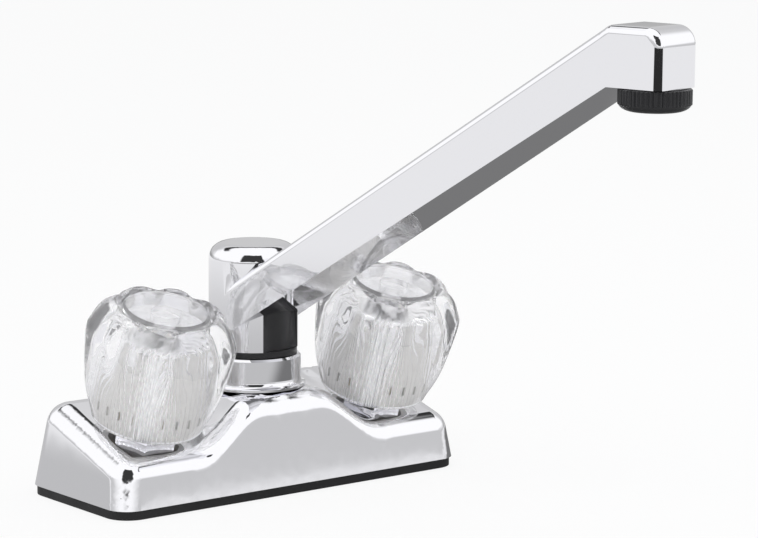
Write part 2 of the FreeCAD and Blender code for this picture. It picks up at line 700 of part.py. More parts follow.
def spout_tube():
    """The tube inside the arm from the insert to the outlet."""
    end = OUTLET_REACH - NIPPLE_RADIUS * 0.6
    bar = arm_bar(TUBE_RADIUS, TUBE_START, end)
    bore = arm_bar(TUBE_RADIUS - TUBE_WALL, TUBE_START - 1, end + 1)
    return bar.cut(bore)


def outlet_nipple():
    """The outlet fitting in the head, with the thread that the aerator screws on."""
    outline = [(0, NIPPLE_BOTTOM), (NIPPLE_THREAD_RADIUS - 0.5, NIPPLE_BOTTOM),
               (NIPPLE_THREAD_RADIUS, NIPPLE_BOTTOM + 0.5), (NIPPLE_THREAD_RADIUS, HEAD_BOTTOM),
               (NIPPLE_RADIUS, HEAD_BOTTOM), (NIPPLE_RADIUS, NIPPLE_TOP), (0, NIPPLE_TOP)]
    nipple = turned(outline)
    nipple = nipple.cut(cylinder(NIPPLE_RADIUS - SHELL_WALL, NIPPLE_BOTTOM - 1, NIPPLE_TOP - SHELL_WALL))
    nipple.translate(Vector(0, -OUTLET_REACH, 0))
    return nipple.cut(arm_bar(TUBE_RADIUS + SEAT_FIT, OUTLET_REACH - 2 * HUB_RADIUS, OUTLET_REACH))


def aerator_housing():
    """The ribbed black cap with a domed lower edge and an open mouth."""
    top = HEAD_BOTTOM - LOOSE_FIT
    band_bottom = HEAD_BOTTOM - AERATOR_BAND
    bottom = HEAD_BOTTOM - AERATOR_HEIGHT
    dome = curve([(AERATOR_MOUTH, bottom), (0.82 * AERATOR_RADIUS, bottom + 0.6),
                  (0.95 * AERATOR_RADIUS, bottom + 0.5 * (band_bottom - bottom)), (AERATOR_RADIUS, band_bottom)])
    outside = turned_profile([line((0, bottom), (AERATOR_MOUTH, bottom)), dome,
                              line((AERATOR_RADIUS, band_bottom), (AERATOR_RADIUS, top - 0.4)),
                              line((AERATOR_RADIUS, top - 0.4), (AERATOR_RADIUS - 0.4, top)),
                              line((AERATOR_RADIUS - 0.4, top), (0, top)), line((0, top), (0, bottom))])
    ribs = star_bar(AERATOR_RADIUS + 0.1, AERATOR_RADIUS - AERATOR_RIB_DEPTH, AERATOR_RIBS,
                    band_bottom - 1.2, top + 1)
    lower = cylinder(AERATOR_RADIUS + 1, bottom - 1, band_bottom - 1.2)
    outside = outside.common(ribs.fuse(lower))
    ledge = aerator_ledge()
    thread = cylinder(NIPPLE_THREAD_RADIUS + SEAT_FIT, NIPPLE_BOTTOM - SEAT_FIT, top + 1)
    cup = cylinder(screen_radius() + SEAT_FIT, ledge, NIPPLE_BOTTOM)
    mouth = cylinder(AERATOR_MOUTH - 0.6, bottom - 1, ledge + 1)
    return outside.cut(thread).cut(cup).cut(mouth)


def aerator_ledge():
    """Height of the ledge inside the cap that carries the screen."""
    return NIPPLE_BOTTOM - SEAT_FIT - WASHER_THICKNESS - SCREEN_THICKNESS - SEAT_FIT


def screen_radius():
    return NIPPLE_THREAD_RADIUS - 1.2


def aerator_screen():
    """The perforated disc that breaks up the stream."""
    low = aerator_ledge()
    disc = cylinder(screen_radius(), low, low + SCREEN_THICKNESS)
    holes = [cylinder(SCREEN_HOLE, low - 1, low + 2)]
    for ring in (1, 2):
        hole = cylinder(SCREEN_HOLE, low - 1, low + 2, ring * 3.2 * SCREEN_HOLE)
        holes += spun(hole, 6 * ring)
    for hole in holes:
        disc = disc.cut(hole)
    return disc


def aerator_washer():
    """The rubber ring between the outlet and the screen."""
    low = aerator_ledge() + SCREEN_THICKNESS
    return tube(screen_radius(), screen_radius() - 2.2, low, low + WASHER_THICKNESS)


# Valve trim, made about Z with zero at the platform

def bonnet_nut():
    """The six-sided nut that clamps the cover and holds the cartridge in."""
    corner = BONNET_FLAT_RADIUS / math.cos(math.pi / 6)
    corners = [Vector(corner * math.cos(math.pi * k / 3), corner * math.sin(math.pi * k / 3), 0) for k in range(6)]
    nut = Part.Face(Part.makePolygon(corners + [corners[0]])).extrude(Vector(0, 0, BONNET_HEIGHT))
    chamfer = turned([(0, CONTACT_GAP), (corner, CONTACT_GAP), (corner, BONNET_HEIGHT - 1),
                      (corner - 1.6, BONNET_HEIGHT), (0, BONNET_HEIGHT)])
    nut = nut.common(chamfer)
    nut = nut.cut(cylinder(VALVE_NECK_RADIUS + SEAT_FIT, -1, BONNET_HEIGHT - BONNET_LIP))
    return nut.cut(cylinder(boss_radius() + SEAT_FIT, -1, BONNET_HEIGHT + 1))


def boss_radius():
    """Radius of the cartridge's top boss."""
    return STEM_RADIUS + 1.4


def cartridge():
    """The valve cartridge that the stem turns in."""
    shelf = VALVE_NECK_HEIGHT + SEAT_FIT
    outline = [(0, -CARTRIDGE_DEPTH), (CARTRIDGE_RADIUS, -CARTRIDGE_DEPTH), (CARTRIDGE_RADIUS, shelf),
               (boss_radius(), shelf), (boss_radius(), BONNET_HEIGHT + 0.8), (0, BONNET_HEIGHT + 0.8)]
    body = turned(outline)
    body = body.cut(cylinder(STEM_RADIUS + RUNNING_FIT, CARTRIDGE_CEILING - 1, BONNET_HEIGHT + 2))
    chamber_floor = -CARTRIDGE_DEPTH + 1.2
    body = body.cut(cylinder(STEM_DRUM_RADIUS + LOOSE_FIT, chamber_floor, CARTRIDGE_CEILING))
    body = body.cut(cylinder(PORT_RADIUS, -CARTRIDGE_DEPTH - 1, chamber_floor + 1))
    port = Part.makeCylinder(PORT_RADIUS, 2 * CARTRIDGE_RADIUS + 2, Vector(-CARTRIDGE_RADIUS - 1, 0, -PORT_DEPTH),
                             Vector(1, 0, 0))
    return body.cut(port)


def seat():
    """The rubber seat that seals against the bottom of the cartridge."""
    return tube(SEAT_RADIUS, PORT_RADIUS, -CARTRIDGE_DEPTH - 2.4, -CARTRIDGE_DEPTH)


def ring_wire(radius, corners, middle, along):
    """A many-sided ring of a wire's section, square to the wire."""
    outward = Vector(middle.x, middle.y, 0).normalize()
    across = along.cross(outward).normalize()
    points = []
    for index in range(corners):
        angle = 2 * math.pi * index / corners
        points.append(middle + outward * (radius * math.cos(angle)) + across * (radius * math.sin(angle)))
    return Part.makePolygon(points + [points[0]])


def seat_spring():
    """The small coil spring that lifts the seat."""
    low = -POCKET_DEPTH + SPRING_WIRE
    high = -CARTRIDGE_DEPTH - 2.4 - SPRING_WIRE
    radius = SEAT_RADIUS - 2 * SPRING_WIRE
    rings = []
    steps = int(SPRING_TURNS * 12)
    for step in range(steps + 1):
        turn = 2 * math.pi * step / 12
        middle = Vector(radius * math.cos(turn), radius * math.sin(turn), low + (high - low) * step / steps)
        along = Vector(-math.sin(turn), math.cos(turn), (high - low) / (2 * math.pi * radius * SPRING_TURNS))
        rings.append(ring_wire(SPRING_WIRE, 8, middle, along))
    return Part.makeLoft(rings, True, True)


def stem():
    """The valve stem: a ported drum, a round journal and a splined end."""
    drum_bottom = -CARTRIDGE_DEPTH + 1.2 + LOOSE_FIT
    shaft = cylinder(STEM_RADIUS, STEM_DRUM_TOP - 1, SPLINE_START)
    drum = cylinder(STEM_DRUM_RADIUS, drum_bottom, STEM_DRUM_TOP)
    spline = star_bar(STEM_RADIUS, STEM_RADIUS - SPLINE_DEPTH, SPLINE_TEETH, SPLINE_START, STEM_TOP)
    body = shaft.multiFuse([drum, spline])
    port = Part.makeCylinder(PORT_RADIUS * 0.8, 3 * STEM_DRUM_RADIUS, Vector(0, -1.5 * STEM_DRUM_RADIUS, -PORT_DEPTH),
                             Vector(0, 1, 0))
    body = body.cut(port)
    body = body.cut(cylinder(PORT_RADIUS * 0.8, drum_bottom - 1, -PORT_DEPTH))
    return body.cut(cylinder(SCREW_RADIUS + SEAT_FIT, INSERT_TOP - SCREW_LENGTH - 1, STEM_TOP + 1))


# Knobs

def insert_taper(height):
    """Outer radius of the knob's core at one height."""
    share = (height - KNOB_GAP) / (INSERT_TOP - KNOB_GAP)
    return INSERT_FOOT_RADIUS + share * (INSERT_TOP_RADIUS - INSERT_FOOT_RADIUS)


def knob_insert():
    """The pale core of a knob, with a slotted skirt and a splined socket."""
    foot = KNOB_GAP + 0.6
    outline = [(0, foot), (insert_taper(foot), foot), (INSERT_TOP_RADIUS, INSERT_TOP), (0, INSERT_TOP)]
    core = turned(outline)
    core = core.cut(cylinder(INSERT_CAVITY_RADIUS, foot - 1, INSERT_SKIRT))
    socket = star_bar(STEM_RADIUS + SEAT_FIT, STEM_RADIUS - SPLINE_DEPTH + SEAT_FIT, SPLINE_TEETH,
                      INSERT_SKIRT - 1, STEM_TOP + SEAT_FIT)
    core = core.cut(socket).cut(cylinder(SCREW_RADIUS + SEAT_FIT, INSERT_SKIRT, INSERT_TOP + 1))
    slot = Part.makeBox(4.0, SLOT_WIDTH, SLOT_LENGTH)
    slot.translate(Vector(INSERT_CAVITY_RADIUS - 1, -SLOT_WIDTH / 2, foot + SLOT_HEIGHT))
    for cutter in spun(slot, INSERT_SLOTS):
        core = core.cut(cutter)
    return core


def knob():
    """The clear knob: a flared body, eight flutes over its shoulder and a ribbed bore."""
    foot_round = 1.2
    rim = KNOB_TOP + KNOB_RIM_RISE
    side = curve([(KNOB_FOOT_RADIUS, KNOB_GAP + foot_round), (0.905 * KNOB_MAX_RADIUS, 0.5 * KNOB_MAX_HEIGHT),
                  (KNOB_MAX_RADIUS, KNOB_MAX_HEIGHT), (KNOB_SHOULDER_RADIUS + 5.4, rim - 5.0),
                  (KNOB_SHOULDER_RADIUS + 2.6, rim - 0.9), (KNOB_SHOULDER_RADIUS, rim)])
    outline = [line((0, KNOB_GAP), (KNOB_FOOT_RADIUS - foot_round, KNOB_GAP)),
               line((KNOB_FOOT_RADIUS - foot_round, KNOB_GAP), (KNOB_FOOT_RADIUS, KNOB_GAP + foot_round)),
               side, line((KNOB_SHOULDER_RADIUS, rim), (BUTTON_RADIUS + 1.4, KNOB_TOP + 0.8)),
               line((BUTTON_RADIUS + 1.4, KNOB_TOP + 0.8), (BUTTON_RADIUS + 0.6, KNOB_TOP)),
               line((BUTTON_RADIUS + 0.6, KNOB_TOP), (0, KNOB_TOP)), line((0, KNOB_TOP), (0, KNOB_GAP))]
    body = turned_profile(outline)
    for cutter in spun(knob_flute(), KNOB_FLUTES):
        body = body.cut(cutter)
    bore = Part.makeLoft([bore_star(KNOB_GAP - 1), bore_star(INSERT_TOP + SEAT_FIT)], True, True)
    body = body.cut(bore)
    return body.cut(cylinder(SCREW_WELL_RADIUS, INSERT_TOP - 1, KNOB_TOP + 1))


def bore_star(height):
    """The ribbed outline of the knob's bore at one height."""
    radius = insert_taper(height) + SEAT_FIT
    return star_wire(radius + CRYSTAL_RIB_DEPTH, radius, CRYSTAL_RIBS, height)


def knob_flute():
    """One flute: a cone that widens upward and cuts over the shoulder."""
    top = KNOB_TOP + 4.0
    low_radius = 0.4
    inner = Vector(KNOB_FOOT_RADIUS + 3.9, 0, KNOB_FLUTE_FOOT)
    outer = Vector(KNOB_MAX_RADIUS + 1.6, 0, top)
    length = inner.distanceToPoint(outer)
    flute = Part.makeCone(low_radius, KNOB_FLUTE_RADIUS, length, inner, outer - inner)
    flute.rotate(Vector(0, 0, 0), UP, 180.0 / KNOB_FLUTES)
    return flute


def index_button():
    """The round clear button that caps the knob, with a plug in the screw well."""
    top = KNOB_TOP + BUTTON_THICKNESS
    edge = 0.9
    dish = [(0, top - 0.5), (BUTTON_RADIUS * 0.55, top - 0.3), (BUTTON_RADIUS - edge - 1.4, top)]
    outline = [line((0, KNOB_TOP - BUTTON_PLUG_LENGTH), (BUTTON_PLUG_RADIUS, KNOB_TOP - BUTTON_PLUG_LENGTH)),
               line((BUTTON_PLUG_RADIUS, KNOB_TOP - BUTTON_PLUG_LENGTH), (BUTTON_PLUG_RADIUS, KNOB_TOP)),
               line((BUTTON_PLUG_RADIUS, KNOB_TOP), (BUTTON_RADIUS, KNOB_TOP)),
               line((BUTTON_RADIUS, KNOB_TOP), (BUTTON_RADIUS, top - edge)),
               line((BUTTON_RADIUS, top - edge), (BUTTON_RADIUS - edge, top)),
               line((BUTTON_RADIUS - edge, top), dish[2]), line(dish[2], dish[1]), line(dish[1], dish[0]),
               line(dish[0], (0, KNOB_TOP - BUTTON_PLUG_LENGTH))]
    return turned_profile(outline)


def knob_screw():
    """The screw down the knob's well into the stem."""
    head_top = INSERT_TOP + SCREW_HEAD_HEIGHT
    screw = turned([(0, INSERT_TOP - SCREW_LENGTH), (SCREW_RADIUS, INSERT_TOP - SCREW_LENGTH),
                    (SCREW_RADIUS, INSERT_TOP), (SCREW_HEAD_RADIUS, INSERT_TOP),
                    (SCREW_HEAD_RADIUS, head_top - 0.8), (SCREW_HEAD_RADIUS - 0.8, head_top), (0, head_top)])
    for turn in (0, 90):
        slot = Part.makeBox(2 * SCREW_HEAD_RADIUS * 0.6, 0.9, 1.2)
        slot.translate(Vector(-SCREW_HEAD_RADIUS * 0.6, -0.45, head_top - 1.2))
        slot.rotate(Vector(0, 0, 0), UP, turn)
        screw = screw.cut(slot)
    return screw


def every_piece():
    """Each piece by name, in its place."""
    pieces = {
        "base_gasket": base_gasket(),
        "base_cover": base_cover(),
        "waterway_body": waterway_body(),
        "mounting_nuts": mounting_nuts(),
        "spout_nut": spout_nut(),
        "thrust_ring": thrust_ring(),
        "oring_upper": oring(ORING_UPPER),
        "oring_lower": oring(ORING_LOWER),
        "hub_insert": on_spout(hub_insert()),
        "spout_shell": on_spout(spout_shell()),
        "spout_tube": on_spout(spout_tube()),
        "outlet_nipple": on_spout(outlet_nipple()),
    }
    for name, make in (("aerator_housing", aerator_housing), ("aerator_screen", aerator_screen),
                       ("aerator_washer", aerator_washer)):
        shape = make()
        shape.translate(Vector(0, -OUTLET_REACH, 0))
        pieces[name] = on_spout(shape)
    trim = {"bonnet_nut": bonnet_nut, "cartridge": cartridge, "seat": seat, "seat_spring": seat_spring,
            "stem": stem, "knob_insert": knob_insert, "knob": knob, "index_button": index_button,
            "knob_screw": knob_screw}
    for name, make in trim.items():
        shape = make()
        pieces["hot_" + name] = on_valve(shape, -1)
        pieces["cold_" + name] = on_valve(shape, 1)
    return pieces


os.makedirs("parts", exist_ok=True)
for name, shape in every_piece().items():
    shape.exportStep("parts/" + name + ".step")
    print(name, "solids", len(shape.Solids), "valid", shape.isValid(), "volume", round(shape.Volume, 1))
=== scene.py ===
import json
from math import cos, pi, radians, sin, tau

import bmesh
import bpy
from mathutils import Matrix, Quaternion, Vector


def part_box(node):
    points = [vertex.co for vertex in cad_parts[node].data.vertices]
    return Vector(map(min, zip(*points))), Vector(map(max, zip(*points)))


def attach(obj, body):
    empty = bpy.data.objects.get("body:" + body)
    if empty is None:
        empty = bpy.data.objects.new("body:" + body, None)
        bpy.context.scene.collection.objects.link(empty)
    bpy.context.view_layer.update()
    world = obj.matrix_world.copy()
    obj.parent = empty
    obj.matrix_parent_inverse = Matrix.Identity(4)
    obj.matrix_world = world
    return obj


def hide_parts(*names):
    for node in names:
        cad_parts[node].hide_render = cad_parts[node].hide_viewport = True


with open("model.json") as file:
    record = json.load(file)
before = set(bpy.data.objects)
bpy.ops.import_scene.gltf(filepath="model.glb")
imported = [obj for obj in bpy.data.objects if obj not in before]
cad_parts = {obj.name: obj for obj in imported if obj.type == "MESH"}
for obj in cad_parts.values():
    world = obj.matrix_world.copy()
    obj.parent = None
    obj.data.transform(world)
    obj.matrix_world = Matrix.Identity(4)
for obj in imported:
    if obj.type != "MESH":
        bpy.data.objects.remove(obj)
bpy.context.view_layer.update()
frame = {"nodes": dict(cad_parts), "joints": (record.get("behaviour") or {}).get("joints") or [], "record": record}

bl_info = {
    "name": "Two-handle kitchen faucet",
    "version": (1, 0, 0),
    "blender": (4, 5, 0),
    "location": "3D View > Sidebar > Faucet",
    "description": "Dresses a chromed two-handle kitchen faucet with clear fluted knobs",
    "category": "Add Mesh",
}

MM = 0.001
SIDES = ("hot", "cold")

# Places that the frame gives
JOINTS = {joint["name"]: joint for joint in frame["joints"]}
HANDLE_JOINT = {"hot": JOINTS["hot_handle_turn"], "cold": JOINTS["cold_handle_turn"]}
AERATOR_LOW, AERATOR_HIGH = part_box("aerator_housing")
SHANK_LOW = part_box("waterway_body")[0]


# Sizes and colours that a user would change

class FaucetChromeSettings(bpy.types.PropertyGroup):
    """Finish of the chromed cover, collar and spout"""
    tint: bpy.props.FloatVectorProperty(
        name="Chrome colour", description="Reflectance of the chrome plate", subtype="COLOR",
        size=3, min=0.0, max=1.0, default=(0.86, 0.86, 0.89))
    roughness: bpy.props.FloatProperty(
        name="Chrome roughness", description="How soft the reflections are", subtype="FACTOR",
        min=0.0, max=1.0, default=0.035)
    ripple: bpy.props.FloatProperty(
        name="Plating ripple", description="Strength of the faint waviness of plated plastic",
        subtype="FACTOR", min=0.0, max=1.0, default=0.05)


class FaucetKnobSettings(bpy.types.PropertyGroup):
    """Shape and finish of the clear knobs"""
    lobes: bpy.props.IntProperty(
        name="Lobes", description="Number of lobes round the knob", min=4, max=16, default=8)
    flute_depth: bpy.props.FloatProperty(
        name="Flute depth", description="Depth of the flutes at the knob's shoulder",
        subtype="DISTANCE", unit="LENGTH", min=0.0, max=0.006, default=0.0031)
    ribs: bpy.props.IntProperty(
        name="Inner ribs", description="Number of fine ribs inside the clear body",
        min=12, max=120, default=60)
    rib_depth: bpy.props.FloatProperty(
        name="Rib depth", description="Depth of the fine inner ribs",
        subtype="DISTANCE", unit="LENGTH", min=0.0, max=0.002, default=0.0009)
    clear: bpy.props.FloatVectorProperty(
        name="Acrylic colour", description="Colour of the clear acrylic", subtype="COLOR",
        size=3, min=0.0, max=1.0, default=(0.975, 0.975, 0.99))
    core: bpy.props.FloatVectorProperty(
        name="Core colour", description="Colour of the pale core inside the knob", subtype="COLOR",
        size=3, min=0.0, max=1.0, default=(0.90, 0.89, 0.85))


class FaucetAeratorSettings(bpy.types.PropertyGroup):
    """Shape of the ribbed aerator cap"""
    ribs: bpy.props.IntProperty(
        name="Grip ribs", description="Number of grip ribs round the cap", min=24, max=96, default=60)
    rib_width: bpy.props.FloatProperty(
        name="Rib width", description="Width of one grip rib",
        subtype="DISTANCE", unit="LENGTH", min=0.0002, max=0.002, default=0.00062)
    rib_height: bpy.props.FloatProperty(
        name="Rib height", description="How far a grip rib stands out of the band",
        subtype="DISTANCE", unit="LENGTH", min=0.0001, max=0.001, default=0.00030)


class FaucetThreadSettings(bpy.types.PropertyGroup):
    """Shape of the pipe threads on the inlet shanks"""
    pitch: bpy.props.FloatProperty(
        name="Thread pitch", description="Rise of the shank's thread in one turn",
        subtype="DISTANCE", unit="LENGTH", min=0.0008, max=0.004, default=0.00181)
    depth: bpy.props.FloatProperty(
        name="Thread depth", description="Depth of the shank's thread",
        subtype="DISTANCE", unit="LENGTH", min=0.0002, max=0.002, default=0.0009)


class FaucetStageSettings(bpy.types.PropertyGroup):
    """Floor, lamps and camera"""
    lens: bpy.props.FloatProperty(
        name="Lens", description="Focal length of the camera in millimetres",
        min=10.0, max=400.0, default=148.3)
    lamp_power: bpy.props.FloatProperty(
        name="Key power", description="Power of the key lamp in watts", min=0.0, max=200.0, default=9.0)
    world_strength: bpy.props.FloatProperty(
        name="Room light", description="Strength of the even light of the room",
        min=0.0, max=4.0, default=0.80)


SETTINGS = {
    "faucet_chrome": FaucetChromeSettings,
    "faucet_knob": FaucetKnobSettings,
    "faucet_aerator": FaucetAeratorSettings,
    "faucet_thread": FaucetThreadSettings,
    "faucet_stage": FaucetStageSettings,
}


# Materials

def new_material(name):
    """An empty material with a Principled shader, ready for its nodes."""
    material = bpy.data.materials.new(name)
    material.use_nodes = True
    tree = material.node_tree
    tree.nodes.clear()
    shader = tree.nodes.new("ShaderNodeBsdfPrincipled")
    output = tree.nodes.new("ShaderNodeOutputMaterial")
    tree.links.new(shader.outputs["BSDF"], output.inputs["Surface"])
    return material, tree, shader


def node(tree, kind, **values):
    """A node with its plain settings and unlinked inputs set by name."""
    made = tree.nodes.new(kind)
    for key, value in values.items():
        if hasattr(made, key):
            setattr(made, key, value)
        else:
            made.inputs[key.replace("_", " ")].default_value = value
    return made


def object_noise(tree, scale, detail=2.0):
    """Noise on Object coordinates."""
    place = node(tree, "ShaderNodeTexCoord")
    noise = node(tree, "ShaderNodeTexNoise", Scale=scale, Detail=detail)
    tree.links.new(place.outputs["Object"], noise.inputs["Vector"])
    return noise


def span(tree, source, low, high):
    """Noise stretched to run between two values."""
    ramp = node(tree, "ShaderNodeMapRange")
    ramp.inputs["From Min"].default_value = 0.3
    ramp.inputs["From Max"].default_value = 0.7
    ramp.inputs["To Min"].default_value = low
    ramp.inputs["To Max"].default_value = high
    tree.links.new(source.outputs["Fac"], ramp.inputs["Value"])
    return ramp


def add_bump(tree, shader, source, strength, distance):
    """Lets a height pattern tilt the shading."""
    bump = node(tree, "ShaderNodeBump")
    bump.inputs["Strength"].default_value = strength
    bump.inputs["Distance"].default_value = distance
    tree.links.new(source, bump.inputs["Height"])
    tree.links.new(bump.outputs["Normal"], shader.inputs["Normal"])


def chrome_material():
    """Bright chrome on moulded plastic, with a faint ripple and polish haze."""
    settings = bpy.context.scene.faucet_chrome
    material, tree, shader = new_material("chrome_plate")
    shader.inputs["Metallic"].default_value = 1.0
    shader.inputs["Base Color"].default_value = (*settings.tint, 1.0)
    haze = span(tree, object_noise(tree, 260.0, 3.0), settings.roughness * 0.8, settings.roughness * 1.5)
    tree.links.new(haze.outputs["Result"], shader.inputs["Roughness"])
    ripple = object_noise(tree, 42.0)
    add_bump(tree, shader, ripple.outputs["Fac"], settings.ripple, 0.0004)
    return material


def moulded_material(name, colour, roughness, grain=900.0, depth=0.00005):
    """A moulded plastic or rubber with a fine grain."""
    material, tree, shader = new_material(name)
    mottle = object_noise(tree, 35.0, 3.0)
    mix = node(tree, "ShaderNodeMix", data_type="RGBA")
    mix.inputs["A"].default_value = (*[channel * 0.93 for channel in colour], 1.0)
    mix.inputs["B"].default_value = (*[min(channel * 1.05, 1.0) for channel in colour], 1.0)
    tree.links.new(mottle.outputs["Fac"], mix.inputs["Factor"])
    tree.links.new(mix.outputs["Result"], shader.inputs["Base Color"])
    shader.inputs["Specular IOR Level"].default_value = 0.45
    rough = span(tree, object_noise(tree, 120.0), roughness * 0.85, roughness * 1.15)
    tree.links.new(rough.outputs["Result"], shader.inputs["Roughness"])
    fine = object_noise(tree, grain)
    add_bump(tree, shader, fine.outputs["Fac"], 0.35, depth)
    return material


def metal_material(name, colour, roughness):
    """Turned or drawn metal with fine tool marks."""
    material, tree, shader = new_material(name)
    shader.inputs["Metallic"].default_value = 1.0
    shader.inputs["Base Color"].default_value = (*colour, 1.0)
    rough = span(tree, object_noise(tree, 700.0), roughness * 0.7, roughness * 1.4)
    tree.links.new(rough.outputs["Result"], shader.inputs["Roughness"])
    marks = object_noise(tree, 1800.0)
    add_bump(tree, shader, marks.outputs["Fac"], 0.2, 0.00002)
    return material


MIRROR_FADE = 0.7


def acrylic_material():
    """Clear moulded acrylic with slight flow marks, which chrome mirrors only faintly."""
    settings = bpy.context.scene.faucet_knob
    material, tree, shader = new_material("clear_acrylic")
    shader.inputs["Base Color"].default_value = (*settings.clear, 1.0)
    shader.inputs["Transmission Weight"].default_value = 0.9
    shader.inputs["IOR"].default_value = 1.4
    haze = span(tree, object_noise(tree, 300.0), 0.01, 0.04)
    tree.links.new(haze.outputs["Result"], shader.inputs["Roughness"])
    flow = object_noise(tree, 130.0, 3.0)
    add_bump(tree, shader, flow.outputs["Fac"], 0.25, 0.0004)
    path = node(tree, "ShaderNodeLightPath")
    faint = node(tree, "ShaderNodeBsdfTransparent")
    outside = math_node(tree, "LESS_THAN", path.outputs["Transmission Depth"], 0.5)
    share = times(tree, times(tree, path.outputs["Is Glossy Ray"], outside), MIRROR_FADE)
    output = next(n for n in tree.nodes if n.type == "OUTPUT_MATERIAL")
    both = mixed(tree, share, shader.outputs["BSDF"], faint.outputs["BSDF"])
    tree.links.new(both, output.inputs["Surface"])
    return material


FINISHES = {}


def finish_named(name):
    """Each finish, made once."""
    if name in FINISHES:
        return FINISHES[name]
    knob = bpy.context.scene.faucet_knob
    makers = {
        "chrome_plate": chrome_material,
        "clear_acrylic": acrylic_material,
        "gasket_rubber": lambda: moulded_material("gasket_rubber", (0.012, 0.012, 0.013), 0.55),
        "seal_rubber": lambda: moulded_material("seal_rubber", (0.02, 0.02, 0.02), 0.4),
        "black_plastic": lambda: moulded_material("black_plastic", (0.014, 0.014, 0.016), 0.33),
        "grey_acetal": lambda: moulded_material("grey_acetal", (0.42, 0.43, 0.44), 0.42),
        "cream_plastic": lambda: moulded_material("cream_plastic", tuple(knob.core), 0.4, 900.0, 0.00002),
        "bright_brass": lambda: metal_material("bright_brass", (0.78, 0.60, 0.30), 0.22),
        "stainless_steel": lambda: metal_material("stainless_steel", (0.66, 0.66, 0.67), 0.25),
    }
    FINISHES[name] = makers[name]()
    return FINISHES[name]


# Meshes

WELD_DISTANCE = 0.000004


def link_object(name, mesh):
    """A new object in the scene."""
    made = bpy.data.objects.new(name, mesh)
    bpy.context.scene.collection.objects.link(made)
    return made


def smooth_by_angle(mesh, angle):
    """Smooth shading in which large faces stay flat and edges past an angle stay sharp."""
    work = bmesh.new()
    work.from_mesh(mesh)
    work.normal_update()
    limit = cos(angle)
    normals = []
    for face in work.faces:
        face.smooth = True
        for corner in face.loops:
            total = Vector((0.0, 0.0, 0.0))
            for other in corner.vert.link_faces:
                if other.normal.dot(face.normal) > limit:
                    total += other.normal * other.calc_area()
            normals.append(total.normalized() if total.length > 0.0 else face.normal.copy())
    for edge in work.edges:
        edge.smooth = len(edge.link_faces) == 2 and edge.calc_face_angle(pi) < angle
    work.to_mesh(mesh)
    work.free()
    mesh.normals_split_custom_set(normals)


def settle(obj, body, replaced):
    """Gives a finished piece its body and hides the solid that it stands for."""
    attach(obj, body)
    if replaced:
        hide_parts(*replaced)


def body_of(node_name):
    """The moving or still body that a solid belongs to."""
    for body, members in frame["record"]["behaviour"]["bodies"].items():
        if node_name in members:
            return body
    raise KeyError(node_name)


def dressed_copy(node_name, piece_name, slot, angle=32.0):
    """A welded, smooth copy of one solid with its finish."""
    source = frame["nodes"][node_name]
    mesh = source.data.copy()
    mesh.name = piece_name
    work = bmesh.new()
    work.from_mesh(mesh)
    bmesh.ops.remove_doubles(work, verts=work.verts, dist=WELD_DISTANCE)
    work.to_mesh(mesh)
    work.free()
    mesh.materials.clear()
    mesh.materials.append(finish_named(slot))
    for attribute in [a.name for a in mesh.attributes if a.name == "custom_normal"]:
        mesh.attributes.remove(mesh.attributes[attribute])
    smooth_by_angle(mesh, radians(angle))
    made = link_object(piece_name, mesh)
    settle(made, body_of(node_name), [node_name])
    return made


# Node trees that repeat a shape

def new_tree(name, inputs):
    """A Geometry Nodes tree with named inputs: (name, socket kind, default)."""
    tree = bpy.data.node_groups.new(name, "GeometryNodeTree")
    tree.interface.new_socket("Geometry", in_out="OUTPUT", socket_type="NodeSocketGeometry")
    for label, kind, default in inputs:
        socket = tree.interface.new_socket(label, in_out="INPUT", socket_type=kind)
        socket.default_value = default
    start = tree.nodes.new("NodeGroupInput")
    end = tree.nodes.new("NodeGroupOutput")
    return tree, start, end


def close_tree(tree, end, geometry, material):
    """Ends a tree in real geometry with its material."""
    real = tree.nodes.new("GeometryNodeRealizeInstances")
    paint = tree.nodes.new("GeometryNodeSetMaterial")
    paint.inputs["Material"].default_value = material
    tree.links.new(geometry, real.inputs["Geometry"])
    tree.links.new(real.outputs["Geometry"], paint.inputs["Geometry"])
    tree.links.new(paint.outputs["Geometry"], end.inputs["Geometry"])


def grown(name, tree, values, place):
    """The plain mesh that a tree makes, set in its place."""
    seed = link_object(name, bpy.data.meshes.new(name + "_seed"))
    modifier = seed.modifiers.new("grow", "NODES")
    modifier.node_group = tree
    sockets = {item.name: item.identifier for item in tree.interface.items_tree if item.in_out == "INPUT"}
    for label, value in values.items():
        modifier[sockets[label]] = value
    graph = bpy.context.evaluated_depsgraph_get()
    mesh = bpy.data.meshes.new_from_object(seed.evaluated_get(graph))
    seed.modifiers.remove(modifier)
    mesh.transform(place)
    seed.data = mesh
    return seed


def math_node(tree, operation, first, second):
    """One sum on two values, each a number or a node's output."""
    made = tree.nodes.new("ShaderNodeMath")
    made.operation = operation
    for index, value in enumerate((first, second)):
        if isinstance(value, (int, float)):
            made.inputs[index].default_value = value
        else:
            tree.links.new(value, made.inputs[index])
    return made.outputs[0]


